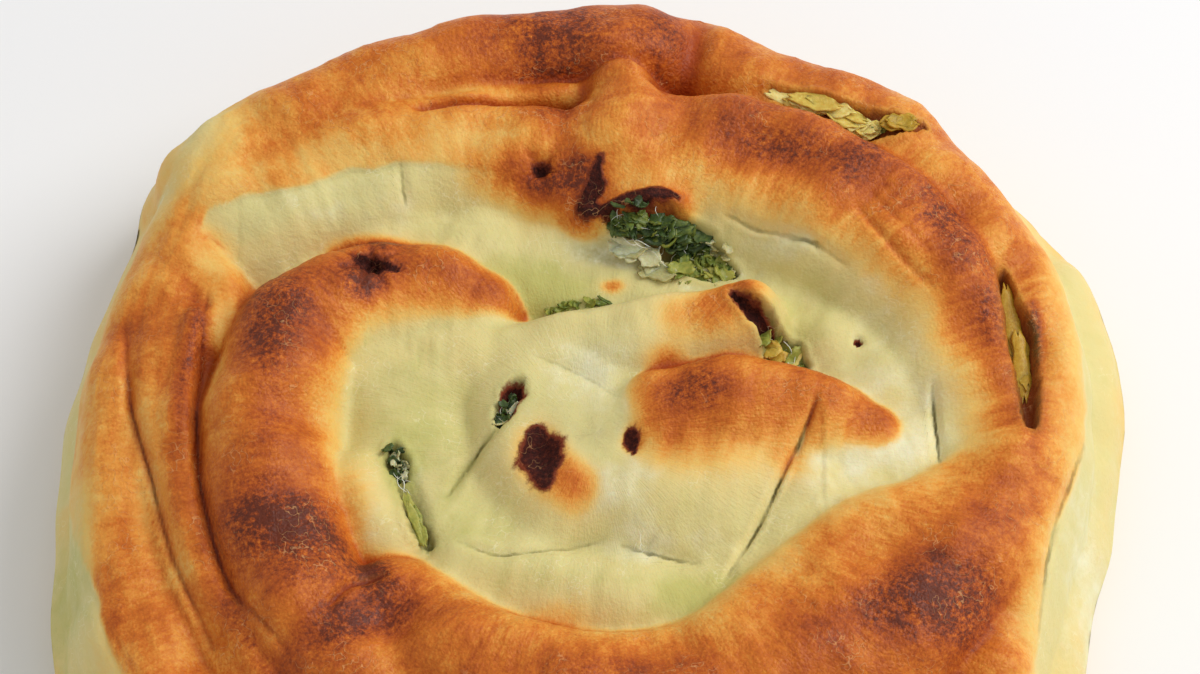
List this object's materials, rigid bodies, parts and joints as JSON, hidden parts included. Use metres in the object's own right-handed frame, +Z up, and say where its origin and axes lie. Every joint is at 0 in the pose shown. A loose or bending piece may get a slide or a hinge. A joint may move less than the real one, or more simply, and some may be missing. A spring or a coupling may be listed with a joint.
{
  "type": "green onion cake",
  "caption": "Thick round green onion cake: a baked coil of layered dough, torn open in places so that the chopped green onion inside shows.",
  "frame": {"origin": "on the resting face, under the middle of the cake's bounding box", "axes": "+Z up from the resting face; +Y to the back, where the dough's nose-shaped tip points in; +X to the right as seen from the front"},
  "size_m": [0.121, 0.125, 0.0318],
  "materials": {
    "dough": "baked dough, golden brown on the ridges and pale green-yellow between them, slightly oily",
    "filling": "soft cooked green onion, moist"
  },
  "bodies": {
    "root": {"dough": "dough", "filling": "filling"}
  },
  "joints": []
}
